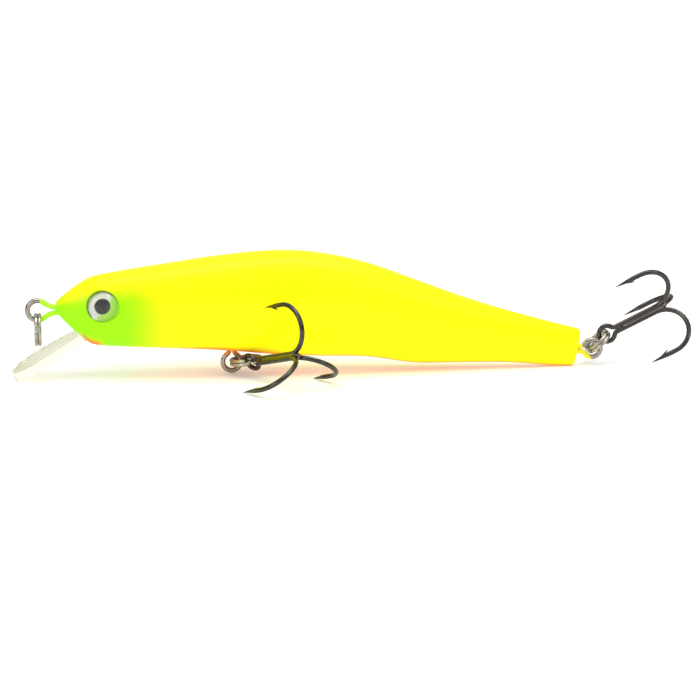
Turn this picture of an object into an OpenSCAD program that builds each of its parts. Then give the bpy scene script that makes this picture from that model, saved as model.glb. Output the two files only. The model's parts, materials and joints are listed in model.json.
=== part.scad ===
// Minnow crankbait: two moulded half shells closed round wire eyes, a clear
// diving lip, a belly weight and three casting balls, with split rings and
// two treble hooks hung from the wire eyes.
// Lengths in mm. X runs from nose to tail, Z is up. Shapes are laid out from
// the nose point with the standing surface at Z = 0, then moved so that the
// centre of the nose eye is the origin.

/* [Body] */
// Length of the moulded body, nose to tail
body_len = 80; // [66:1:96]
// Height of the body at its deepest
body_height = 16.1; // [14:0.1:19]
// Width of the body at its widest
body_width = 10.2; // [9:0.1:12.2]
// Wall thickness round the inner space
wall = 1.3; // [1:0.1:1.6]
// Gap at the seam between the two shells
seam = 0.02; // [0.01:0.01:0.06]
// Backwards slant of the cut tail end
tail_slant = 0.9; // [0:0.1:1.6]

/* [Diving lip] */
// Length of lip standing out of the head
lip_reach = 12.3; // [10.2:0.1:14.7]
// Width of the lip near its front
lip_width = 8.6; // [7:0.1:10.2]
// Thickness of the lip plate
lip_thick = 1.2; // [1:0.1:1.4]
// Angle of the lip below the body line
lip_angle = 30.5; // [27:0.5:35]
// Depth of the lip's tongue inside the head
lip_tongue = 2.4; // [2:0.1:2.8]

/* [Wire eyes] */
// Diameter of the wire of the nose eye
nose_wire = 0.8; // [0.66:0.02:0.86]
// Outer diameter of the nose eye's loop
nose_loop_od = 3.8; // [3.6:0.1:4.4]
// Diameter of the wire of the belly and tail eyes
hanger_wire = 0.76; // [0.64:0.02:0.8]
// Outer diameter of the belly and tail loops
hanger_loop_od = 3.44; // [3.36:0.02:3.8]

/* [Split rings] */
// Outer diameter of the nose and belly rings
ring_od = 5; // [4.7:0.1:5.2]
// Outer diameter of the tail ring
tail_ring_od = 4.6; // [4.4:0.1:4.9]
// Diameter of the ring wire
ring_wire = 0.56; // [0.46:0.02:0.58]

/* [Treble hooks] */
// Diameter of the hook wire
hook_wire = 0.76; // [0.64:0.02:0.78]
// Outer diameter of the hook's eye
hook_eye_od = 3.2; // [3.1:0.05:3.6]
// Bend radius of the front treble
front_bend_r = 3.7; // [3.1:0.1:4]
// Bend radius of the rear treble
rear_bend_r = 3.5; // [2.9:0.1:4.2]
// Straight shank of the front treble
front_shank = 7.9; // [6.6:0.1:8.6]
// Straight shank of the rear treble
rear_shank = 6.3; // [5.4:0.1:7.6]
// Length of the ground point
point_len = 2.9; // [2.4:0.1:3.5]

/* [Fish eyes] */
// Diameter of the clear eye dome
eye_d = 4.7; // [3.9:0.1:5.4]
// Height of the dome above its foil disc
eye_rise = 1.1; // [0.9:0.1:1.4]

/* [Weights] */
// Diameter of a casting ball
ball_d = 4.2; // [3.5:0.1:4.4]
// Length of the ball tunnel
tunnel_len = 26.4; // [22:0.2:27]
// Diameter of the belly weight
weight_d = 4; // [3.3:0.1:4.4]
// Length of the belly weight
weight_len = 8; // [6.6:0.1:9]

/* [Hidden] */
$fn = 48;
fit = 0.05;
sx = body_len / 80;
sy = body_width / 10.2;
sz = body_height / 16.1;

// half section outline: station, top, bottom, half width
outline = [
    [0, 11.5, 10.2, 0.55], [0.5, 12.1, 9.5, 1.15], [2.3, 13.5, 7.6, 2.25],
    [5, 15.2, 5.25, 3.25], [8.7, 16, 4.7, 4.05], [16.9, 17.2, 4.2, 4.75],
    [24.2, 18.2, 3.75, 5.03], [33, 18.85, 2.9, 5.1], [39.6, 18.4, 2.5, 4.95],
    [46.9, 16.7, 2.2, 4.45], [54.2, 14, 1.1, 3.75], [61.5, 11.2, 0.95, 2.95],
    [68.8, 8.8, 0.75, 2.15], [76.1, 6.7, 0.1, 1.4], [79.7, 5.75, 0, 1.1]
];
last = len(outline) - 1;
function slope(k, i) =
    i == 0 ? (outline[1][k] - outline[0][k]) / outline[1][0] :
    i == last ? (outline[last][k] - outline[last - 1][k])
        / (outline[last][0] - outline[last - 1][0]) :
    (outline[i + 1][k] - outline[i - 1][k]) / (outline[i + 1][0] - outline[i - 1][0]);
function span(x, i = 0) = i >= last - 1 || x < outline[i + 1][0] ? i : span(x, i + 1);
function blend(k, x, i) = let (
    h = outline[i + 1][0] - outline[i][0], t = (x - outline[i][0]) / h,
    t2 = t * t, t3 = t2 * t)
    (2 * t3 - 3 * t2 + 1) * outline[i][k] + (t3 - 2 * t2 + t) * h * slope(k, i)
    + (3 * t2 - 2 * t3) * outline[i + 1][k] + (t3 - t2) * h * slope(k, i + 1);
function curve(k, x) = blend(k, x / sx, span(x / sx)) * (k == 3 ? sy : sz);

// one half section, top to bottom, bulging towards +Y
round_pow = 2 / 2.2;
function power(v) = sign(v) * pow(abs(v), round_pow);
function half_section(x, inset, base, n) = let (
    top = curve(1, x) - inset, low = curve(2, x) + inset, w = curve(3, x) - inset,
    mid = (top + low) / 2, h = (top - low) / 2)
    [for (j = [0:n]) let (a = 90 - 180 * j / n, z = mid + h * power(sin(a)))
        [x - tail_slant * (top - z) / (top - low) * pow(x / body_len, 12),
         j == 0 || j == n ? base : w * power(cos(a)), z]];

module half_loft(stations, inset, base, n) {
    rows = len(stations);
    m = n + 1;
    pts = [for (s = stations) for (p = half_section(s * sx, inset, base, n)) p];
    faces = concat(
        [for (i = [0:rows - 2]) for (j = [0:n - 1])
            for (f = [[(i + 1) * m + j, i * m + j, i * m + j + 1],
                      [(i + 1) * m + j, i * m + j + 1, (i + 1) * m + j + 1]]) f],
        [for (i = [0:rows - 2]) [i * m, (i + 1) * m, (i + 1) * m + n, i * m + n]],
        [[for (j = [n:-1:0]) j], [for (j = [0:n]) (rows - 1) * m + j]]);
    polyhedron(points = pts, faces = faces, convexity = 6);
}

body_stations = concat([0, 0.5, 1.3, 2.3, 3.5, 5], [for (s = [7:2.5:12]) s],
    [for (s = [15:4:75]) s], [77.5, 79.7]);
room_stations = [for (s = [12:4.5:66]) s];

// wire eye and lip positions from the nose point
nose_at = [-2.7 * sx, 0, 10.35 * sz];
belly_at = [26.35 * sx, 0, 1.8 * sz];
tail_at = [81.5 * sx, 0, 2.6 * sz];
lip_root = [4.2 * sx, 0, 6.71 * sz];
nose_r = (nose_loop_od - nose_wire) / 2;
hanger_r = (hanger_loop_od - hanger_wire) / 2;
nose_run = 11.25 * sx;
nose_neck = 3.2;
belly_run = 6.2 * sz;
tail_run = 7.4 * sx;

// fish eye position
eye_x = 6.9 * sx;
eye_z = 11.4 * sz;
eye_turn = 9;
foil_thick = 0.3;
eye_seat = 2.85 * sy;

// ball tunnel from its front end, sloping down to the tail
tunnel_at = [34 * sx, 0, 10.6 * sz];
tunnel_drop = 9.8;
tunnel_r = ball_d / 2 + 0.1;
magnet_r = ball_d / 2 - 0.25;
magnet_len = 2.4;
weight_at = [13.4 * sx, 0, 7.2 * sz];

// locating pegs: x, z
pegs = [[9.8 * sx, 6.7 * sz], [21 * sx, 14.6 * sz], [46 * sx, 14.1 * sz], [68.5 * sx, 5 * sz]];
peg_r = 0.7;
peg_len = 1.2;

function turn_x(a, v) = [v[0], v[1] * cos(a) - v[2] * sin(a), v[1] * sin(a) + v[2] * cos(a)];
function turn_y(a, v) = [v[0] * cos(a) + v[2] * sin(a), v[1], v[2] * cos(a) - v[0] * sin(a)];
function turn_z(a, v) = [v[0] * cos(a) - v[1] * sin(a), v[0] * sin(a) + v[1] * cos(a), v[2]];
function turned(e, v) = turn_z(e[2], turn_y(e[1], turn_x(e[0], v)));
function on_circle(r, a) = [r * cos(a), r * sin(a), 0];

ring_r = (ring_od - ring_wire) / 2;
tail_ring_r = (tail_ring_od - ring_wire) / 2;
ring_pitch = ring_wire * 0.95;

// nose ring hangs under its loop
nose_drop = nose_r - nose_wire / 2 - ring_wire / 2;
nose_ring_at = nose_at - [0, 0, ring_r + sqrt(pow(nose_drop, 2) - pow(ring_pitch / 2, 2)) - 0.04];

// belly ring lies rearwards and to the left, tail ring leans up and back
belly_ring_turn = [0, -7, -32];
belly_ring_pass = belly_at + [0.2, 0, 0.15];
belly_ring_at = belly_ring_pass + turned(belly_ring_turn, on_circle(ring_r, 0));
front_link = belly_ring_at + turned(belly_ring_turn, on_circle(ring_r, -35));
tail_ring_turn = [0, -42, 0];
tail_ring_pass = tail_at + [-0.1, 0, -0.24];
tail_ring_at = tail_ring_pass + turned(tail_ring_turn, on_circle(tail_ring_r, 38));
rear_link = tail_ring_at + turned(tail_ring_turn, on_circle(tail_ring_r, -15));

// treble hooks: shank wires lie round the axis, the eye is in the plane of two of them
hook_off = hook_wire / sqrt(3) + 0.006;
hook_gap = hook_off * sin(60);
hook_eye_r = (hook_eye_od - hook_wire) / 2;
hook_eye_u = -1.85;
link_u = hook_eye_u + 0.12;
front_turn = [120, -15.4, -54.9];
rear_turn = [264.4, -26, 0];
front_at = front_link - turned(front_turn, [link_u, 0, -hook_off / 2]);
rear_at = rear_link - turned(rear_turn, [link_u, 0, -hook_off / 2]);

module from_tie() {
    translate(-nose_at) children();
}

// ---- wire shapes ----

// bend of a wire in the XY plane about the origin, from angle a through sweep
module bend(radius, wire, a, sweep) {
    rotate([0, 0, a]) rotate_extrude(angle = sweep) translate([radius, 0]) circle(d = wire);
}

function neck_angle(radius, gap, fillet) = asin((gap + fillet) / (radius + fillet));
function neck_u(radius, gap, fillet) = (radius + fillet) * cos(neck_angle(radius, gap, fillet));

// open loop about the origin whose two legs leave side by side along +X; the
// necks are a hair thinner than the wire and run a little way into it
module loop(radius, wire, gap, fillet = 0.8) {
    a = neck_angle(radius, gap, fillet);
    lap = 2;
    bend(radius, wire, a, 360 - 2 * a);
    for (s = [0, 1]) mirror([0, s, 0])
        translate([neck_u(radius, gap, fillet), gap + fillet, 0])
            bend(fillet, wire - 0.014, 180 + a - lap, 90 - a + 2 * lap);
}

// wire figure of eight: outer loop at the origin, inner loop at run along +X
module wire_eye(radius, wire, run, neck = 0.8) {
    gap = wire / 2 + 0.01;
    start = neck_u(radius, gap, neck);
    rotate([90, 0, 0]) {
        loop(radius, wire, gap, neck);
        translate([run, 0, 0]) mirror([1, 0, 0]) loop(radius, wire, gap);
        for (s = [-1, 1]) translate([start, s * gap, 0]) rotate([0, 90, 0])
            cylinder(d = wire, h = run - start - neck_u(radius, gap, 0.8));
    }
}

// half height of a wire eye's outer loop and neck at a distance from its centre
function eye_half(radius, wire, neck, u) = let (
    gap = wire / 2 + 0.01, a = neck_angle(radius, gap, neck), nu = neck_u(radius, gap, neck))
    u < radius * cos(a) ? sqrt(max(pow(radius + wire / 2, 2) - u * u, wire * wire)) :
    gap + neck + wire / 2 - sqrt(pow(neck, 2) - pow(max(nu - u, 0), 2));

// room left in one shell for a wire eye, round the peg that fills its inner loop;
// from is where the shell's outer surface starts
module wire_eye_seat(radius, wire, run, from, neck = 0.8) {
    deep = wire / 2 + fit;
    half = wire + 0.01 + fit;
    mouth = eye_half(radius, wire, neck, from) + fit + 0.05;
    mouth_end = max(neck_u(radius, wire / 2 + 0.01, neck), from + 0.5);
    rotate([90, 0, 0]) {
        difference() {
            translate([run, 0, -deep]) cylinder(r = radius + wire / 2 + fit, h = 2 * deep);
            translate([run, 0, -deep - 1]) cylinder(r = radius - wire / 2 - fit, h = 2 * deep + 2);
        }
        translate([0.4, -half, -deep]) cube([run - radius - 0.4, 2 * half, 2 * deep]);
        translate([0.4, -mouth, -deep]) cube([mouth_end - 0.4, 2 * mouth, 2 * deep]);
    }
}

module nose_seat() {
    translate(nose_at) wire_eye_seat(nose_r, nose_wire, nose_run, -nose_at[0], nose_neck);
}

module belly_seat() {
    translate(belly_at) rotate([0, -90, 0]) wire_eye_seat(hanger_r, hanger_wire, belly_run, 1.3);
}

module tail_seat() {
    translate(tail_at) rotate([0, 180, 0]) wire_eye_seat(hanger_r, hanger_wire, tail_run, 1.3);
}

module split_ring(radius) {
    rotate_extrude() for (s = [-1, 1]) translate([radius, s * ring_pitch / 2]) circle(d = ring_wire);
}

// bend, point and barb of one hook, shank along +X at height hook_off towards +Z
module hook_arm(start, shank, radius) {
    straight = 1.2;
    translate([start, 0, hook_off]) rotate([0, 90, 0]) cylinder(d = hook_wire, h = shank - start);
    translate([shank, 0, hook_off + radius]) rotate([90, 0, 0]) bend(radius, hook_wire, -90, 180);
    translate([shank, 0, hook_off + 2 * radius]) rotate([0, -90, 0]) {
        cylinder(d = hook_wire, h = straight);
        translate([0, 0, straight]) cylinder(d1 = hook_wire, d2 = 0.08, h = point_len);
        barb();
    }
}

// small spur on the inside of the point, cut back towards the bend
module barb() {
    translate([-hook_wire * 0.95, 0, 1.15]) rotate([0, 28, 0]) cylinder(d1 = 0.1, d2 = 0.46, h = 1.3);
}

// one arm as [u, r, wire radius] from the neck out to the tip
function arm_run(start, shank, radius) = let (w = hook_wire / 2, far = hook_off + 2 * radius)
    concat([for (k = [0:4]) [start + (shank - start) * k / 4, hook_off, w]],
        [for (k = [1:14]) let (a = -90 + 180 * k / 14)
            [shank + radius * cos(a), hook_off + radius + radius * sin(a), w]],
        [[shank - 1.2, far, w], [shank - 1.2 - point_len * 0.5, far, w * 0.62],
         [shank - 1.2 - point_len, far, 0.04]]);

// neck and half of the eye on the -Y side, from the shank to the eye's far end
function eye_run() = let (f = 0.7, a = neck_angle(hook_eye_r, hook_gap, f),
    nu = neck_u(hook_eye_r, hook_gap, f), z = -hook_off / 2, w = hook_wire / 2)
    concat([for (k = [1:3]) let (b = 90 + (90 - a) * k / 4)
            [hook_eye_u + nu + f * cos(b), f * sin(b) - hook_gap - f, z, w]],
        [for (k = [0:9]) let (b = -a - (180 - a) * k / 10)
            [hook_eye_u + hook_eye_r * cos(b), hook_eye_r * sin(b), z, w]]);

function flipped(run) = [for (k = [len(run) - 1:-1:0]) run[k]];
function cross3(a, b) = [a[1] * b[2] - a[2] * b[1], a[2] * b[0] - a[0] * b[2],
    a[0] * b[1] - a[1] * b[0]];
function unit(v) = v / norm(v);

// closed tube along a run of [x, y, z, radius], side is the section's first direction
module tube(run, side, n = 12) {
    m = len(run);
    function at(i) = [run[i][0], run[i][1], run[i][2]];
    pts = [for (i = [0:m - 1]) let (
        t = unit(at(min(i + 1, m - 1)) - at(max(i - 1, 0))),
        q = unit(side[i] - (side[i] * t) * t), p = cross3(t, q))
        for (j = [0:n - 1]) at(i) + run[i][3] * (cos(360 * j / n) * q + sin(360 * j / n) * p)];
    faces = concat(
        [for (i = [0:m - 2]) for (j = [0:n - 1]) let (k = (j + 1) % n)
            for (f = [[i * n + j, (i + 1) * n + j, (i + 1) * n + k],
                      [i * n + j, (i + 1) * n + k, i * n + k]]) f],
        [[for (j = [0:n - 1]) j], [for (j = [n - 1:-1:0]) (m - 1) * n + j]]);
    polyhedron(points = pts, faces = faces, convexity = 8);
}

// two hooks and the eye bent from one wire
module double_hook(shank, radius) {
    arm = arm_run(hook_eye_u + neck_u(hook_eye_r, hook_gap, 0.7), shank, radius);
    half = concat([for (p = flipped(arm)) [p[0], -p[1] * sin(120), p[1] * cos(120), p[2]]],
        eye_run());
    n = len(arm);
    lean = [for (k = [0:len(half) - 1]) let (a = k < n - 5 ? 30 : k < n ? 30 * (n - 1 - k) / 5 : 0)
        [0, -sin(a), cos(a)]];
    other = [for (p = flipped(half)) [p[0], -p[1], p[2], p[3]]];
    tube(concat(half, [[hook_eye_u - hook_eye_r, 0, -hook_off / 2, hook_wire / 2]], other),
        concat(lean, [[0, 0, 1]], [for (v = flipped(lean)) [0, -v[1], v[2]]]));
    for (a = [-120, 120]) rotate([a, 0, 0])
        translate([shank, 0, hook_off + 2 * radius]) rotate([0, -90, 0]) barb();
}

module single_hook(shank, radius) {
    hook_arm(0.5, shank, radius);
}

// ---- body ----

module lip_plate(grow) {
    half = lip_width / 2 + grow;
    root_half = lip_width * 0.34 + grow;
    tongue_half = lip_width * 0.23 + grow;
    length = lip_reach + lip_tongue;
    shoulder = lip_reach + grow;
    translate(lip_root) rotate([0, -lip_angle, 0]) translate([-lip_reach, 0, -lip_thick / 2 - grow])
        linear_extrude(lip_thick + 2 * grow) {
            intersection() {
                translate([half, 0]) circle(r = half);
                translate([half * 0.04 - grow, -half]) square([half * 0.96 + grow, 2 * half]);
            }
            polygon([[half, half], [half, -half], [shoulder, -root_half],
                [shoulder, -tongue_half], [length + grow, -tongue_half],
                [length + grow, tongue_half], [shoulder, tongue_half], [shoulder, root_half]]);
        }
}

module tunnel(radius, from, to) {
    translate(tunnel_at) rotate([0, 90 + tunnel_drop, 0]) translate([0, 0, from])
        cylinder(r = radius, h = to - from);
}

module weight_room(grow) {
    translate(weight_at - [grow, 0, 0]) rotate([0, 90, 0])
        cylinder(r = weight_d / 2 + grow, h = weight_len + 2 * grow);
}

module round_y(x, z, radius, length) {
    translate([x, -0.6, z]) rotate([-90, 0, 0]) cylinder(r = radius, h = length + 0.6);
}

// inner space of one half, less the ribs and seats left standing in it
module inner_room() {
    far = 12 * sy;
    difference() {
        half_loft(room_stations, wall, -0.5, 8);
        tunnel(tunnel_r + 0.8, -magnet_len - 1, tunnel_len + 1);
        weight_room(1);
        round_y(belly_at[0], belly_at[2] + belly_run, hanger_r + hanger_wire / 2 + 1, far);
        translate([belly_at[0] - 1.9, -1, 0]) cube([3.8, far, belly_at[2] + belly_run]);
        for (p = pegs) round_y(p[0], p[1], peg_r + 0.8, far);
        for (x = [24.4, 40, 53]) translate([x * sx, -1, 8]) cube([1, far, 20]);
    }
}

// one half of the body, on the +Y side
module half_body() {
    difference() {
        union() {
            half_loft(body_stations, 0, seam / 2, 12);
            translate([belly_at[0], seam / 2, belly_at[2] + 1.35]) rotate_extrude(angle = 180)
                polygon([[0, 0], [1, 0], [1.5, 0.5], [1.5, 3], [0, 3]]);
        }
        inner_room();
        tunnel(tunnel_r, 0, tunnel_len);
        tunnel(magnet_r + fit, -magnet_len - fit, 1);
        weight_room(fit);
        nose_seat();
        belly_seat();
        tail_seat();
        lip_plate(fit);
        eye_frame() translate([0, 0, -foil_thick - fit]) cylinder(d = eye_d + 2 * fit, h = 4);
    }
}

// eye position on the +Y side, Z pointing out of the cheek
module eye_frame() {
    translate([eye_x, eye_seat, eye_z]) rotate([0, 0, -eye_turn]) rotate([-90, 0, 0]) children();
}

module half_body_with_pegs() {
    half_body();
    for (p = pegs) translate([p[0], 0, p[1]]) rotate([90, 0, 0])
        translate([0, 0, -0.6]) cylinder(r = peg_r, h = 0.6 + peg_len);
}

module half_body_with_sockets() {
    difference() {
        half_body();
        for (p = pegs) round_y(p[0], p[1], peg_r + fit, peg_len + 0.1);
    }
}

module right_shell() {
    color([0.95, 0.95, 0.1]) from_tie() half_body_with_pegs();
}

module left_shell() {
    color([0.95, 0.95, 0.1]) from_tie() mirror([0, 1, 0]) half_body_with_sockets();
}

module diving_lip() {
    color([0.95, 0.93, 0.8, 0.5]) from_tie() lip_plate(0);
}

// ---- wire parts ----

module nose_eye() {
    color([0.72, 0.72, 0.7]) wire_eye(nose_r, nose_wire, nose_run, nose_neck);
}

module belly_eye() {
    color([0.72, 0.72, 0.7]) from_tie() translate(belly_at) rotate([0, -90, 0])
        wire_eye(hanger_r, hanger_wire, belly_run);
}

module tail_eye() {
    color([0.72, 0.72, 0.7]) from_tie() translate(tail_at) rotate([0, 180, 0])
        wire_eye(hanger_r, hanger_wire, tail_run);
}

module nose_ring() {
    color([0.75, 0.75, 0.73]) from_tie() translate(nose_ring_at) rotate([0, 90, 0]) split_ring(ring_r);
}

module belly_ring() {
    color([0.75, 0.75, 0.73]) from_tie() translate(belly_ring_at) rotate(belly_ring_turn)
        split_ring(ring_r);
}

module tail_ring() {
    color([0.75, 0.75, 0.73]) from_tie() translate(tail_ring_at) rotate(tail_ring_turn)
        split_ring(tail_ring_r);
}

module front_double_hook() {
    color([0.3, 0.29, 0.28]) from_tie() translate(front_at) rotate(front_turn)
        double_hook(front_shank, front_bend_r);
}

module front_single_hook() {
    color([0.3, 0.29, 0.28]) from_tie() translate(front_at) rotate(front_turn)
        single_hook(front_shank, front_bend_r);
}

module rear_double_hook() {
    color([0.3, 0.29, 0.28]) from_tie() translate(rear_at) rotate(rear_turn)
        double_hook(rear_shank, rear_bend_r);
}

module rear_single_hook() {
    color([0.3, 0.29, 0.28]) from_tie() translate(rear_at) rotate(rear_turn)
        single_hook(rear_shank, rear_bend_r);
}

// ---- fish eyes ----

module foil() {
    eye_frame() translate([0, 0, -foil_thick]) cylinder(d = eye_d - 0.1, h = foil_thick);
}

// clear dome: a straight rim under a round cap
module dome() {
    rim = 0.35;
    cap = eye_rise - rim;
    radius = (pow(eye_d / 2, 2) + cap * cap) / (2 * cap);
    eye_frame() translate([0, 0, 0.01]) rotate_extrude() intersection() {
        union() {
            square([eye_d / 2, rim]);
            translate([0, eye_rise - radius]) circle(r = radius, $fn = 144);
        }
        square([eye_d / 2, eye_rise + 1]);
    }
}

module left_eye_foil() {
    color([0.8, 0.8, 0.78]) from_tie() mirror([0, 1, 0]) foil();
}

module right_eye_foil() {
    color([0.8, 0.8, 0.78]) from_tie() foil();
}

module left_eye_dome() {
    color([0.9, 0.95, 0.9, 0.4]) from_tie() mirror([0, 1, 0]) dome();
}

module right_eye_dome() {
    color([0.9, 0.95, 0.9, 0.4]) from_tie() dome();
}

// ---- weights ----

module belly_weight() {
    color([0.45, 0.45, 0.47]) from_tie() translate(weight_at) rotate([0, 90, 0])
        cylinder(d = weight_d, h = weight_len);
}

module magnet() {
    color([0.6, 0.6, 0.62]) from_tie() tunnel(magnet_r, -magnet_len, -0.05);
}

module ball(place) {
    translate(tunnel_at) rotate([0, 90 + tunnel_drop, 0])
        translate([0, 0, ball_d / 2 + 0.05 + place * (ball_d + 0.05)]) sphere(d = ball_d);
}

module ball_front() {
    color([0.7, 0.7, 0.72]) from_tie() ball(0);
}

module ball_middle() {
    color([0.7, 0.7, 0.72]) from_tie() ball(1);
}

module ball_rear() {
    color([0.7, 0.7, 0.72]) from_tie() ball(2);
}

left_shell();
right_shell();
diving_lip();
nose_eye();
belly_eye();
tail_eye();
nose_ring();
belly_ring();
tail_ring();
front_double_hook();
front_single_hook();
rear_double_hook();
rear_single_hook();
left_eye_foil();
right_eye_foil();
left_eye_dome();
right_eye_dome();
belly_weight();
magnet();
ball_front();
ball_middle();
ball_rear();
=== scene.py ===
"""The looks of the crankbait lure: painted sides, clear lip, foil eyes, rings and trebles."""
import bmesh
import bpy
import json
import math
import numpy as np
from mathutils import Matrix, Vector


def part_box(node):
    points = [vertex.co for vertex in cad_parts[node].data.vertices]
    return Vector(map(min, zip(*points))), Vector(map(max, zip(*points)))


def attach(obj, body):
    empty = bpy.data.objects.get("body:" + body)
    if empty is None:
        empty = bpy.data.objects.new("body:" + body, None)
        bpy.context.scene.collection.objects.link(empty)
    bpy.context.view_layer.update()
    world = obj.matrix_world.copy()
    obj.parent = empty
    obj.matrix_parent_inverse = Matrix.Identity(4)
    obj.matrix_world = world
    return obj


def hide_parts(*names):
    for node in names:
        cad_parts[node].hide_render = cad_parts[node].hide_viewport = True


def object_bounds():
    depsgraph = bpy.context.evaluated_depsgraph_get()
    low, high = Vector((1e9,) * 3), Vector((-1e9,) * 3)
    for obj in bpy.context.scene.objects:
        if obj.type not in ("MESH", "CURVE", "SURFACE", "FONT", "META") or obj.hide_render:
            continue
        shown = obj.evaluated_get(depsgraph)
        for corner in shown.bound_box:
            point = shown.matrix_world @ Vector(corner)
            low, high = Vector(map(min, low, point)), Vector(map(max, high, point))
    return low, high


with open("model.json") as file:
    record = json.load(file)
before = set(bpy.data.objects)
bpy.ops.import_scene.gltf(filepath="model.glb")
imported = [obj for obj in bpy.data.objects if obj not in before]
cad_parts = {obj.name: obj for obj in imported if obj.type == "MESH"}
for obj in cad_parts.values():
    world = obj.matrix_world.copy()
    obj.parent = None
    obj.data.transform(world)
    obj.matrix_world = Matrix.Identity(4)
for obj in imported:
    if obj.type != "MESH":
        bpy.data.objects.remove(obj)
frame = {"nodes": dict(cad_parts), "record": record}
cad_lo, cad_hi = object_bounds()
joints = {j["name"]: j for j in frame["record"]["behaviour"]["joints"]}

# ---------------------------------------------------------------- node helpers


def new_material(name):
    """A new node material with its nodes, its links and its shader."""
    m = bpy.data.materials.new(name)
    m.use_nodes = True
    n = m.node_tree.nodes
    return m, n, m.node_tree.links, n["Principled BSDF"]


def value_of(links, socket, v):
    """Sets a socket to a constant, or links another socket to it."""
    if isinstance(v, (int, float, tuple, list)):
        socket.default_value = v
    else:
        links.new(v, socket)


def calc(n, l, op, a, b=0.0, c=None):
    """One Math node; each input is a number or a socket."""
    x = n.new("ShaderNodeMath")
    x.operation = op
    value_of(l, x.inputs[0], a)
    value_of(l, x.inputs[1], b)
    if c is not None:
        value_of(l, x.inputs[2], c)
    return x.outputs[0]


def smooth(n, l, v, a, b):
    """0 where v is at a, 1 where it is at b, easing between them."""
    x = n.new("ShaderNodeMapRange")
    x.interpolation_type = "SMOOTHSTEP"
    value_of(l, x.inputs[0], v)
    lo, hi, f, t = (a, b, 0.0, 1.0) if a < b else (b, a, 1.0, 0.0)
    for i, k in enumerate((lo, hi, f, t)):
        x.inputs[i + 1].default_value = k
    return x.outputs[0]


def mix(n, l, fac, a, b):
    x = n.new("ShaderNodeMix")
    x.data_type = "RGBA"
    value_of(l, x.inputs[0], fac)
    value_of(l, x.inputs[6], a if not isinstance(a, tuple) else (*a, 1))
    value_of(l, x.inputs[7], b if not isinstance(b, tuple) else (*b, 1))
    return x.outputs[2]


def noise(n, l, vec, scale, detail=3.0, rough=0.5):
    x = n.new("ShaderNodeTexNoise")
    x.inputs["Scale"].default_value = scale
    x.inputs["Detail"].default_value = detail
    x.inputs["Roughness"].default_value = rough
    l.new(vec, x.inputs["Vector"])
    return x.outputs["Fac"]


def bump(n, l, bsdf, height, strength, distance):
    x = n.new("ShaderNodeBump")
    x.inputs["Strength"].default_value = strength
    x.inputs["Distance"].default_value = distance
    l.new(height, x.inputs["Height"])
    l.new(x.outputs[0], bsdf.inputs["Normal"])


def coords(n):
    return n.new("ShaderNodeTexCoord").outputs["Object"]


def split(n, l, vec):
    x = n.new("ShaderNodeSeparateXYZ")
    l.new(vec, x.inputs[0])
    return x.outputs


def attribute(n, name):
    x = n.new("ShaderNodeAttribute")
    x.attribute_name = name
    return x.outputs["Fac"]


def srgb(r, g, b):
    """A screen colour, 0 to 255, as linear light."""
    return tuple((c / 255 / 12.92) if c / 255 <= 0.04045
                 else ((c / 255 + 0.055) / 1.055) ** 2.4
                 for c in (r, g, b))


def metal(name, color, rough, scratch=900.0, depth=0.15, dirt=None):
    """Plated or drawn metal with fine wear lines and slightly uneven roughness."""
    m, n, l, b = new_material(name)
    b.inputs["Metallic"].default_value = 1.0
    vec = coords(n)
    fine = noise(n, l, vec, scratch, 4, 0.6)
    broad = noise(n, l, vec, scratch / 6, 2, 0.5)
    dull = tuple(c * 0.82 for c in color)
    shade = mix(n, l, smooth(n, l, broad, 0.3, 0.7), dull, color)
    if dirt:
        worn = calc(n, l, "MULTIPLY", smooth(n, l, fine, 0.55, 0.75), 0.5)
        shade = mix(n, l, worn, shade, dirt)
    l.new(shade, b.inputs["Base Color"])
    l.new(calc(n, l, "MULTIPLY_ADD", fine, 0.12, rough - 0.05), b.inputs["Roughness"])
    bump(n, l, b, fine, depth, 0.00002)
    return m


def set_material(obj, *mats):
    obj.data.materials.clear()
    for m in mats:
        obj.data.materials.append(m)


def edge_split(obj, angle):
    """Keeps edges sharper than angle, in degrees, from being smoothed over."""
    obj.modifiers.new("sharp", "EDGE_SPLIT").split_angle = math.radians(angle)


def smooth_shade(obj, angle=35):
    """Smooth normals through modifiers, so that a CAD node's own vertices stay as they are."""
    for p in obj.data.polygons:
        p.use_smooth = True
    w = obj.modifiers.new("weld", "WELD")
    w.merge_threshold = 1e-6
    edge_split(obj, angle)


def box_mid(name):
    lo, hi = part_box(name)
    return (Vector(lo) + Vector(hi)) / 2


# ------------------------------------------------------------------ body shells

lo_l, hi_l = (Vector(v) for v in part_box("left_shell"))
lo_r, hi_r = (Vector(v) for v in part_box("right_shell"))
body_lo = Vector(map(min, lo_l, lo_r))
body_hi = Vector(map(max, hi_l, hi_r))
LENGTH = body_hi.x - body_lo.x
HEIGHT = body_hi.z - body_lo.z
HALF_WIDTH = hi_r.y

SKIN_GAP_Z = 0.00004  # the painted skin stays this far inside the CAD shells, up and down
SKIN_GAP_Y = 0.00002  # and this far inside them sideways
SEAM_GAP = 0.000008  # half of the hairline between the two sides
SHELL_WALL = 0.0012
SQUARENESS = 2.2  # 2 is an ellipse, more is squarer
TAIL_SLANT = 0.0009
TAIL_ROUND, TAIL_ROUND_FROM, TAIL_ROUND_SPAN = 0.00035, 0.9905, 0.009
SEAT_DEPTH, SEAT_CLEAR, SEAT_TOOL = 0.00036, 0.0001, 0.006
ROUND_STEPS = 44
STATIONS = ([0.0008, 0.0025, 0.006, 0.011, 0.018, 0.027, 0.038, 0.05]
            + list(np.linspace(0.064, 0.985, 120)) + [0.9905, 0.995, 0.998, 0.9995])

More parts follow.
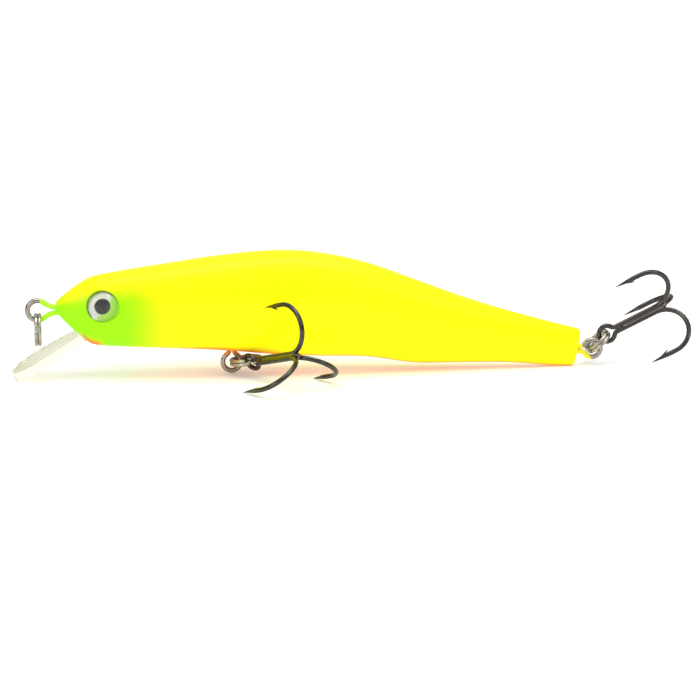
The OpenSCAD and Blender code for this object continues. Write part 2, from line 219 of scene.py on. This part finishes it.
# outline as shares of the box: station, top, bottom, half width
OUTLINE = np.array([
    (0, .6101, .5411, .108), (.0063, .6419, .504, .2255), (.0289, .7162, .4032, .4412),
    (.0627, .8064, .2785, .6373), (.1092, .8488, .2493, .7941), (.212, .9125, .2228, .9314),
    (.3036, .9655, .1989, .9863), (.4141, 1.0, .1538, 1.0), (.4969, .9761, .1326, .9706),
    (.5885, .886, .1167, .8725), (.68, .7427, .0584, .7353), (.7716, .5942, .0504, .5784),
    (.8632, .4668, .0398, .4216), (.9548, .3554, .0053, .2745), (1.0, .305, 0, .2157)])


def curve(k, u):
    """The outline's value k at share u of the length, by a smooth cubic through its rows."""
    o = OUTLINE
    i = int(min(max(np.searchsorted(o[:, 0], u, side="right") - 1, 0), len(o) - 2))

    def slope(j):
        a, b = max(j - 1, 0), min(j + 1, len(o) - 1)
        return (o[b, k] - o[a, k]) / (o[b, 0] - o[a, 0])

    h = o[i + 1, 0] - o[i, 0]
    t = (u - o[i, 0]) / h
    return ((2 * t**3 - 3 * t**2 + 1) * o[i, k] + (t**3 - 2 * t**2 + t) * h * slope(i)
            + (3 * t**2 - 2 * t**3) * o[i + 1, k] + (t**3 - t**2) * h * slope(i + 1))


def section(u, side, inset, count):
    """Points round one half section, top to bottom, with inset inwards."""
    top = body_lo.z + curve(1, u) * HEIGHT - SKIN_GAP_Z
    low = body_lo.z + curve(2, u) * HEIGHT + SKIN_GAP_Z
    wide = curve(3, u) * HALF_WIDTH - SKIN_GAP_Y
    d = min(inset, wide * 0.5, (top - low) * 0.25)
    top, low, wide = top - d, low + d, wide - d
    mid, h = (top + low) / 2, (top - low) / 2
    pts = []
    for j in range(count + 1):
        a = math.pi / 2 - math.pi * j / count
        s, c = math.sin(a), math.cos(a)
        z = mid + h * math.copysign(abs(s) ** (2 / SQUARENESS), s)
        y = wide * abs(c) ** (2 / SQUARENESS) if 0 < j < count else 0.0
        x = body_lo.x + u * LENGTH - TAIL_SLANT * (top - z) / (top - low) * u**12
        pts.append((x, side * max(y, SEAM_GAP), z))
    return pts


def eye_disc(side):
    """Centre of the foil's outer face, its outward normal and its radius."""
    key = "right" if side > 0 else "left"
    verts = np.array([v.co[:] for v in frame["nodes"][key + "_eye_foil"].data.vertices])
    mid = verts.mean(axis=0)
    normal = Vector(np.linalg.svd(verts - mid, full_matrices=False)[2][2])
    if normal.y * side < 0:
        normal.negate()
    spread = np.abs((verts - mid) @ np.array(normal)).max()
    radius = np.linalg.norm(verts - mid, axis=1).max()
    return Vector(mid) + normal * spread, normal, math.sqrt(radius**2 - spread**2)


def cut_eye_seat(obj, side):
    """Sinks a round flat-bottomed seat for the fish eye into one shell."""
    disc, normal, radius = eye_disc(side)
    bpy.ops.mesh.primitive_cylinder_add(vertices=72, radius=radius + SEAT_CLEAR, depth=SEAT_TOOL)
    tool = bpy.context.object
    tool.rotation_mode = "QUATERNION"
    tool.rotation_quaternion = normal.to_track_quat("Z", "Y")
    tool.location = disc + normal * (SEAT_TOOL / 2 - SEAT_DEPTH)
    cut = obj.modifiers.new("seat", "BOOLEAN")
    cut.operation, cut.solver, cut.object = "DIFFERENCE", "EXACT", tool
    bpy.context.view_layer.update()
    done = obj.evaluated_get(bpy.context.evaluated_depsgraph_get())
    mesh = bpy.data.meshes.new_from_object(done)
    obj.modifiers.clear()
    obj.data = mesh
    bpy.data.objects.remove(tool, do_unlink=True)


def shell_faces(side, rows):
    """Faces of one half: outer and inner skin, both seam edges, nose end and tail end."""
    n, m = ROUND_STEPS, ROUND_STEPS + 1
    faces = []

    def add(quad, as_is):
        faces.append(quad if as_is else quad[::-1])

    for k in (0, 1):
        o = k * rows * m
        for i in range(rows - 1):
            a, b = o + i * m, o + (i + 1) * m
            for j in range(n):
                add([a + j, b + j, b + j + 1, a + j + 1], (side > 0) == (k == 1))
    o = rows * m
    for i in range(rows - 1):
        for j in (0, n):
            a, b = i * m + j, (i + 1) * m + j
            add([a, b, o + b, o + a], (side > 0) == (j == 0))
    for r in (0, rows - 1):
        for j in range(n):
            a = r * m + j
            add([a, a + 1, o + a + 1, o + a], (side > 0) == (r == rows - 1))
    return faces


def store_paint_map(mesh, side):
    """Per vertex: share of the length, share of the girth from the back, and eye radii off."""
    along, girth, from_eye = [], [], []
    disc, normal, radius = eye_disc(side)
    for v in mesh.vertices:
        u = min(max((v.co.x - body_lo.x) / LENGTH, 0.0), 1.0)
        top, low = body_lo.z + curve(1, u) * HEIGHT, body_lo.z + curve(2, u) * HEIGHT
        share = min(max((2 * v.co.z - top - low) / (top - low), -1.0), 1.0)
        along.append(u)
        around = math.copysign(abs(share) ** (SQUARENESS / 2), share)
        girth.append(math.acos(around) / math.pi)
        off = v.co - disc
        from_eye.append((off - normal * off.dot(normal)).length / radius)
    for key, values in (("along", along), ("girth", girth), ("from_eye", from_eye)):
        mesh.attributes.new(key, "FLOAT", "POINT").data.foreach_set("value", values)


def half_shell(name, side):
    """One painted side: a wall of its own, with the eye seat cut and the paint map stored."""
    verts = []
    for inset in (0.0, SHELL_WALL):
        for u in STATIONS:
            # the cut tail's edge is rounded over by drawing its last rows in
            ease = max(0.0, (u - TAIL_ROUND_FROM) / TAIL_ROUND_SPAN)
            edge = TAIL_ROUND * (1 - math.sqrt(max(0.0, 1 - min(1.0, ease) ** 2)))
            verts += section(u, side, inset + edge, ROUND_STEPS)
    mesh = bpy.data.meshes.new(name)
    mesh.from_pydata(verts, [], shell_faces(side, len(STATIONS)))
    mesh.update()
    obj = bpy.data.objects.new(name, mesh)
    bpy.context.collection.objects.link(obj)
    cut_eye_seat(obj, side)
    store_paint_map(obj.data, side)
    for p in obj.data.polygons:
        p.use_smooth = True
    edge_split(obj, 50)
    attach(obj, "lure_body")
    return obj


YELLOW = srgb(250, 250, 2)
GREEN = srgb(150, 246, 8)
ORANGE = srgb(243, 132, 20)
RED = srgb(236, 84, 20)
RUST = srgb(150, 120, 20)


def paint():
    """The sprayed lacquer, with a painted glow of its own colour; its edges are shares of the
    length (a) and of the girth (g).
    """
    m, n, l, b = new_material("fluorescent_lacquer_painted_glow")
    along, girth = attribute(n, "along"), attribute(n, "girth")
    vec = coords(n)
    haze = noise(n, l, vec, 420, 4, 0.6)
    wobble = calc(n, l, "MULTIPLY_ADD", haze, 0.03, -0.015)
    a, g = calc(n, l, "ADD", along, wobble), calc(n, l, "ADD", girth, wobble)
    # green sprayed on the cheek, thinning to yellow behind it and over the crown
    green = calc(n, l, "MULTIPLY", smooth(n, l, a, 0.25, 0.12), smooth(n, l, g, 0.14, 0.46))
    snout = calc(n, l, "MULTIPLY", smooth(n, l, a, 0.06, 0.0), 0.7)
    green = calc(n, l, "MAXIMUM", green, snout)
    color = mix(n, l, green, YELLOW, GREEN)
    # orange along the keel, wider under the throat and at the tail
    hanger = calc(n, l, "MULTIPLY", smooth(n, l, a, 0.2, 0.3), smooth(n, l, a, 0.5, 0.36))
    tail = smooth(n, l, a, 0.5, 0.95)
    start = calc(n, l, "MULTIPLY_ADD", hanger, -0.055, 0.945)
    start = calc(n, l, "MULTIPLY_ADD", tail, -0.03, start)
    keel = smooth(n, l, calc(n, l, "SUBTRACT", g, start), -0.12, 0.0)
    keel = calc(n, l, "MULTIPLY", keel, smooth(n, l, a, 0.09, 0.16))
    chin = calc(n, l, "MULTIPLY", smooth(n, l, a, 0.1, 0.07), smooth(n, l, a, 0.035, 0.055))
    throat = calc(n, l, "MULTIPLY", smooth(n, l, g, 0.7, 0.86), chin)
    color = mix(n, l, calc(n, l, "MULTIPLY", keel, 0.95), color, ORANGE)
    color = mix(n, l, calc(n, l, "MULTIPLY", throat, 0.9), color, RED)
    # thin rusty line where the lacquer meets the eye
    rim = smooth(n, l, attribute(n, "from_eye"), 1.12, 1.02)
    color = mix(n, l, calc(n, l, "MULTIPLY", rim, 0.35), color, RUST)
    mottle = mix(n, l, smooth(n, l, haze, 0.25, 0.8), (0.965, 0.965, 0.965), (1, 1, 1))
    x = n.new("ShaderNodeMix")
    x.data_type, x.blend_type = "RGBA", "MULTIPLY"
    x.inputs[0].default_value = 1.0
    l.new(color, x.inputs[6])
    l.new(mottle, x.inputs[7])
    l.new(x.outputs[2], b.inputs["Base Color"])
    # painted glow: the lacquer's colour is also emitted. This fixed glow lights the body flat
    # and bright and throws an orange glow on the floor under the keel.
    l.new(x.outputs[2], b.inputs["Emission Color"])
    b.inputs["Emission Strength"].default_value = 0.36
    b.inputs["Roughness"].default_value = 0.4
    b.inputs["Specular IOR Level"].default_value = 0.12
    b.inputs["Coat Weight"].default_value = 0.08
    b.inputs["Coat Roughness"].default_value = 0.1
    bump(n, l, b, haze, 0.06, 0.00003)
    return m


lacquer = paint()
for side, node, name in ((-1, "left_shell", "painted_left_side"),
                         (1, "right_shell", "painted_right_side")):
    o = half_shell(name, side)
    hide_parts(node)
    set_material(o, lacquer)

# ------------------------------------------------------------------- diving lip


def clear_plastic(name, tint, rough, transmission=1.0):
    """Clear moulded plastic with a faint flow swirl; returns the material and its shader."""
    m, n, l, b = new_material(name)
    vec = coords(n)
    swirl = noise(n, l, vec, 120, 2, 0.4)
    color = mix(n, l, swirl, tuple(min(1, c * 1.02) for c in tint), tint)
    l.new(color, b.inputs["Base Color"])
    b.inputs["Transmission Weight"].default_value = transmission
    b.inputs["IOR"].default_value = 1.47
    l.new(calc(n, l, "MULTIPLY_ADD", swirl, 0.08, rough), b.inputs["Roughness"])
    bump(n, l, b, swirl, 0.03, 0.00004)
    return m, b


LIP_EDGE_ROUND = 0.00042
lip = frame["nodes"]["diving_lip"]
lip_mat, b = clear_plastic("clear_lip_plastic", srgb(255, 252, 232), 0.04, 0.92)
# painted glow: a faint warm emission makes the clear lip lighter than the light passing through
# it would
b.inputs["Emission Color"].default_value = (*srgb(250, 244, 205), 1)
b.inputs["Emission Strength"].default_value = 0.05
set_material(lip, lip_mat)
bev = lip.modifiers.new("round_edges", "BEVEL")
bev.width, bev.segments, bev.limit_method = LIP_EDGE_ROUND, 4, "ANGLE"
bev.angle_limit = math.radians(40)

# -------------------------------------------------------------------- fish eyes


def foil_material(name, centre):
    """Silver iris with a black pupil; r is the distance from centre in millimetres."""
    m, n, l, b = new_material(name)
    vec = coords(n)
    d = n.new("ShaderNodeVectorMath")
    d.operation = "DISTANCE"
    l.new(vec, d.inputs[0])
    d.inputs[1].default_value = centre
    r = calc(n, l, "MULTIPLY", d.outputs["Value"], 1000.0)
    grain = noise(n, l, vec, 2200, 3, 0.6)
    r = calc(n, l, "MULTIPLY_ADD", grain, 0.08, r)
    silver = mix(n, l, grain, srgb(206, 206, 200), srgb(240, 240, 234))
    rim = mix(n, l, smooth(n, l, r, 2.0, 2.3), silver, srgb(140, 118, 84))
    # painted reflection: the lower rear part of the iris is painted green, for the green cheek
    # showing in the foil
    way = n.new("ShaderNodeVectorMath")
    way.operation = "SUBTRACT"
    l.new(vec, way.inputs[0])
    way.inputs[1].default_value = centre
    dx, _, dz = split(n, l, way.outputs[0])
    lean = calc(n, l, "SUBTRACT", dx, calc(n, l, "MULTIPLY", dz, 0.75))
    lean = calc(n, l, "MULTIPLY", lean, 1000.0)
    painted_cheek_reflection = calc(n, l, "MULTIPLY", smooth(n, l, lean, -0.4, 1.2), 0.9)
    rim = mix(n, l, painted_cheek_reflection, rim, srgb(158, 222, 22))
    pupil = smooth(n, l, r, 1.2, 1.12)
    l.new(mix(n, l, pupil, rim, (0.003, 0.003, 0.004)), b.inputs["Base Color"])
    l.new(calc(n, l, "SUBTRACT", 1.0, pupil), b.inputs["Metallic"])
    b.inputs["Specular IOR Level"].default_value = 0.15
    l.new(calc(n, l, "MULTIPLY_ADD", grain, 0.2, 0.2), b.inputs["Roughness"])
    bump(n, l, b, grain, 0.1, 0.00003)
    return m


for side in ("left", "right"):
    foil = frame["nodes"][side + "_eye_foil"]
    set_material(foil, foil_material(side + "_foil", box_mid(side + "_eye_foil")))
    smooth_shade(foil)
    dome = frame["nodes"][side + "_eye_dome"]
    resin, _ = clear_plastic(side + "_resin", (0.98, 0.995, 0.97), 0.02)
    set_material(dome, resin)
    smooth_shade(dome, 40)

# ------------------------------------------------------------------- wire parts

nickel = metal("ring_nickel", srgb(188, 182, 172), 0.2, 1300, 0.15, srgb(96, 88, 80))
black_nickel = metal("black_nickel", srgb(84, 80, 76), 0.15, 1500, 0.12, srgb(34, 31, 29))
tungsten = metal("weight_metal", srgb(120, 120, 124), 0.45, 700, 0.5)
plated = metal("magnet_plate", srgb(176, 176, 180), 0.22, 900, 0.2)
steel = metal("ball_steel", srgb(196, 196, 200), 0.12, 1100, 0.1)


def overpainted(name, color, where):
    """Bright wire whose end nearest the body caught the body's paint."""
    m = metal(name, srgb(176, 168, 158), 0.24, 1400, 0.2, srgb(90, 84, 78))
    n, l = m.node_tree.nodes, m.node_tree.links
    b = n["Principled BSDF"]
    vec = coords(n)
    mask = where(n, l, split(n, l, vec), noise(n, l, vec, 900, 2, 0.5))
    old = b.inputs["Base Color"].links[0].from_socket
    l.new(mix(n, l, mask, old, color), b.inputs["Base Color"])
    l.new(calc(n, l, "SUBTRACT", 1.0, mask), b.inputs["Metallic"])
    return m


def nose_mask(n, l, xyz, grain):
    x = calc(n, l, "MULTIPLY_ADD", grain, 0.0006, xyz[0])
    return smooth(n, l, x, 0.0004, 0.0009)


tail_mid = Vector(joints["tail_ring_swing"]["pos_m"])


def tail_mask(n, l, xyz, grain):
    x = calc(n, l, "SUBTRACT", xyz[0], tail_mid.x)
    zz = calc(n, l, "SUBTRACT", xyz[2], tail_mid.z)
    s = calc(n, l, "ADD", calc(n, l, "MULTIPLY", x, 0.8), calc(n, l, "MULTIPLY", zz, 0.6))
    s = calc(n, l, "MULTIPLY_ADD", grain, 0.0006, s)
    return smooth(n, l, s, -0.0005, -0.0009)


belly_mid = Vector(joints["belly_ring_swing"]["pos_m"])


def belly_mask(n, l, xyz, grain):
    zz = calc(n, l, "SUBTRACT", xyz[2], belly_mid.z)
    return smooth(n, l, calc(n, l, "MULTIPLY_ADD", grain, 0.0006, zz), 0.0012, 0.0018)


for node, mat in (
        ("nose_eye", overpainted("nose_wire", srgb(186, 255, 10), nose_mask)),
        ("tail_eye", overpainted("tail_wire", srgb(250, 236, 10), tail_mask)),
        ("belly_eye", overpainted("belly_wire", srgb(235, 150, 30), belly_mask)),
        ("nose_ring", nickel), ("belly_ring", nickel), ("tail_ring", nickel),
        ("front_double_hook", black_nickel), ("front_single_hook", black_nickel),
        ("rear_double_hook", black_nickel), ("rear_single_hook", black_nickel),
        ("belly_weight", tungsten), ("magnet", plated),
        ("ball_front", steel), ("ball_middle", steel), ("ball_rear", steel)):
    o = frame["nodes"][node]
    set_material(o, mat)
    smooth_shade(o, 50)

# ---------------------------------------------------- split rings and brazing


def points(node):
    return np.array([v.co[:] for v in frame["nodes"][node].data.vertices])


RING_SIDES, RING_STEPS = 20, 168
KINK = 0.3  # half of the angle over which one turn crosses to the next
TURN_WIRE, END_WIRE = 0.995, 0.86  # wire thickness as shares of the CAD wire


def tube(name, path, radii, sides, body, mat):
    """A closed round tube along a path of points, with a radius at each point."""
    path = [Vector(p) for p in path]
    bm = bmesh.new()
    ref = None
    rows = []
    turn = [2 * math.pi * k / sides for k in range(sides)]
    for i, p in enumerate(path):
        t = (path[min(i + 1, len(path) - 1)] - path[max(i - 1, 0)]).normalized()
        ref = (t.orthogonal() if ref is None else ref - t * ref.dot(t)).normalized()
        other = t.cross(ref)
        rows.append([bm.verts.new(p + radii[i] * (math.cos(w) * ref + math.sin(w) * other))
                     for w in turn])
    for a, b in zip(rows, rows[1:]):
        for k in range(sides):
            bm.faces.new((a[k], a[(k + 1) % sides], b[(k + 1) % sides], b[k]))
    bm.faces.new(rows[0][::-1])
    bm.faces.new(rows[-1])
    for f in bm.faces:
        f.smooth = True
    mesh = bpy.data.meshes.new(name)
    bm.to_mesh(mesh)
    bm.free()
    obj = bpy.data.objects.new(name, mesh)
    bpy.context.collection.objects.link(obj)
    set_material(obj, mat)
    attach(obj, body)
    return obj


def coil_ring(body, towards):
    """Two turns of spring wire in place of a CAD ring, crossing on the side of towards."""
    v = points(body)
    mid = (v.max(axis=0) + v.min(axis=0)) / 2
    normal = Vector(np.linalg.svd(v - mid, full_matrices=False)[2][2])
    flat = (v - mid) @ np.array(normal)
    span = np.sqrt(np.maximum(((v - mid) ** 2).sum(axis=1) - flat**2, 0))
    wire = float(span.max() - span.min()) / 2
    big = float(span.max() + span.min()) / 2
    step = float(flat.max()) - wire
    side = Vector(towards)
    side = (side - normal * side.dot(normal)).normalized()
    up = normal.cross(side)
    path, radii = [], []
    first, last = KINK, 4 * math.pi - KINK
    for i in range(RING_STEPS + 1):
        a = first + (last - first) * i / RING_STEPS
        k = min(max((a - 2 * math.pi + KINK) / (2 * KINK), 0.0), 1.0)
        k = k * k * (3 - 2 * k)
        round_it = big * (math.cos(a) * side + math.sin(a) * up)
        path.append(Vector(mid) + round_it + step * (2 * k - 1) * normal)
        radii.append(wire * (END_WIRE if i in (0, RING_STEPS) else TURN_WIRE))
    ring = tube(body + "_coil", path, radii, RING_SIDES, body, nickel)
    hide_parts(body)


coil_ring("nose_ring", (0, -1, 0.25))
coil_ring("belly_ring", (0.2, -1, 0))
coil_ring("tail_ring", (0.5, 1, 0.5))


SHANK_START = 0.0052  # the third hook's flat start lies within this of the link
SHANK_REACH = 0.00042  # points of the third shank lie this close to its line
PAIR_LENGTH, PAIR_REACH = 0.003, 0.0014  # where the other two shanks are looked for
SOLDER_RADIUS, SOLDER_STEPS, SOLDER_SIDES = 0.00057, 44, 28
SOLDER_END = 0.0001  # the solder stops this short of the shank's ends


def brazing(kind):
    """Solder that fills the grooves between a treble's three shank wires."""
    link = np.array(joints[kind + "_treble_swing"]["pos_m"])
    single, double = points(kind + "_single_hook"), points(kind + "_double_hook")
    near = single[np.linalg.norm(single - link, axis=1) < SHANK_START]
    mid = near.mean(axis=0)
    d = np.linalg.svd(near - mid, full_matrices=False)[2][2]
    d = d if d @ (mid - link) > 0 else -d

    def off_line(v, c):
        rel = v - c
        return np.linalg.norm(rel - np.outer(rel @ d, d), axis=1)

    start = ((single - mid) @ d).min()
    shank = single[off_line(single, mid) < SHANK_REACH]
    end = ((shank - mid) @ d).max()
    along = (double - mid) @ d
    beside = (along > start) & (along < start + PAIR_LENGTH)
    pair = double[beside & (off_line(double, mid) < PAIR_REACH)]
    pair_mid = pair.mean(axis=0)
    pair_mid = pair_mid - d * ((pair_mid - mid) @ d)
    axis = (mid + 2 * pair_mid) / 3
    path, radii = [], []
    for i in range(SOLDER_STEPS + 1):
        t = i / SOLDER_STEPS
        at = start + SOLDER_END + (end - start - 2 * SOLDER_END) * t
        path.append(Vector(axis + d * at))
        ease = min(1.0, min(t, 1 - t) * 9 + 0.12)
        uneven = 1 + 0.018 * math.sin(11 * t) + 0.012 * math.sin(29 * t + 1)
        radii.append(SOLDER_RADIUS * math.sqrt(ease) * uneven)
    tube(kind + "_treble_brazing", path, radii, SOLDER_SIDES,
         kind + "_treble", solder)


solder = metal("brazing", srgb(118, 112, 100), 0.16, 1000, 0.35, srgb(60, 54, 46))
brazing("front")
brazing("rear")

# --------------------------------------------------- floor, light, world, camera

FLOOR_LIFT, FLOOR_LIFT_PER_M = 0.13, 0.45  # seen only by the camera
SKY_LOW, SKY_RISE = 0.3, 0.5  # the world's light at the horizon, and its gain overhead
SEEN_WHITE = 1.04  # the world as the camera and clear plastic see it

bpy.ops.mesh.primitive_plane_add(size=3.0, location=(0.04, 0.0, cad_lo.z))
floor = bpy.context.object
floor.name = "floor"
fm, n, l, b = new_material("pale_floor")
vec = coords(n)
pale = mix(n, l, noise(n, l, vec, 60, 3, 0.5), (0.93, 0.93, 0.93), (0.95, 0.95, 0.95))
l.new(pale, b.inputs["Base Color"])
# the floor is lifted towards white with distance, only for the camera
reach = n.new("ShaderNodeVectorMath")
reach.operation = "LENGTH"
l.new(vec, reach.inputs[0])
sweep = calc(n, l, "MULTIPLY_ADD", reach.outputs["Value"], FLOOR_LIFT_PER_M, FLOOR_LIFT)
path = n.new("ShaderNodeLightPath")
l.new(calc(n, l, "MULTIPLY", sweep, path.outputs["Is Camera Ray"]),
      b.inputs["Emission Strength"])
b.inputs["Emission Color"].default_value = (1, 1, 1, 1)
b.inputs["Roughness"].default_value = 0.55
b.inputs["Specular IOR Level"].default_value = 0.2
floor.data.materials.append(fm)

world = bpy.data.worlds.new("studio")
bpy.context.scene.world = world
world.use_nodes = True
n, l = world.node_tree.nodes, world.node_tree.links
back = n["Background"]
path = n.new("ShaderNodeLightPath")
seen = calc(n, l, "MAXIMUM", path.outputs["Is Camera Ray"], path.outputs["Is Transmission Ray"])
sky = n.new("ShaderNodeTexCoord").outputs["Generated"]
overhead = smooth(n, l, split(n, l, sky)[2], 0.1, 0.75)
sky = calc(n, l, "MULTIPLY_ADD", overhead, SKY_RISE, SKY_LOW)
seen = calc(n, l, "MULTIPLY_ADD", seen, calc(n, l, "SUBTRACT", SEEN_WHITE, sky), sky)
back.inputs["Color"].default_value = (1, 1, 1, 1)
l.new(seen, back.inputs["Strength"])


def area(name, offset, size, power):
    """A soft box at an offset from the lure's middle, turned towards it."""
    d = bpy.data.lights.new(name, "AREA")
    d.shape, d.size, d.size_y, d.energy = "RECTANGLE", size[0], size[1], power
    o = bpy.data.objects.new(name, d)
    bpy.context.collection.objects.link(o)
    o.location = aim + Vector(offset)
    o.rotation_mode = "QUATERNION"
    o.rotation_quaternion = (aim - (aim + Vector(offset))).to_track_quat("-Z", "Y")


aim = (cad_lo + cad_hi) / 2
area("top_box", (0.0, -0.05, 0.55), (0.5, 0.35), 1.7)
area("left_box", (-0.5, -0.45, 0.3), (0.25, 0.3), 0.9)
area("right_box", (0.5, -0.4, 0.35), (0.25, 0.3), 0.7)

cam_data = bpy.data.cameras.new("camera")
cam = bpy.data.objects.new("camera", cam_data)
bpy.context.collection.objects.link(cam)
bpy.context.scene.camera = cam
AZ, EL, DIST = math.radians(-5.7), math.radians(13.0), 0.47
VIEW_WIDTH = 0.1062  # metres across the picture at the target
target = Vector((aim.x - 0.0006, 0.0, cad_lo.z + 0.0032))
back_dir = Vector((math.sin(AZ) * math.cos(EL), -math.cos(AZ) * math.cos(EL), math.sin(EL)))
cam.location = target + back_dir * DIST
cam.rotation_mode = "QUATERNION"
cam.rotation_quaternion = (-back_dir).to_track_quat("-Z", "Y")
cam_data.sensor_width = 36.0
cam_data.lens = 36.0 * DIST / VIEW_WIDTH
cam_data.clip_start, cam_data.clip_end = 0.01, 10

bpy.context.scene.view_settings.view_transform = "Standard"
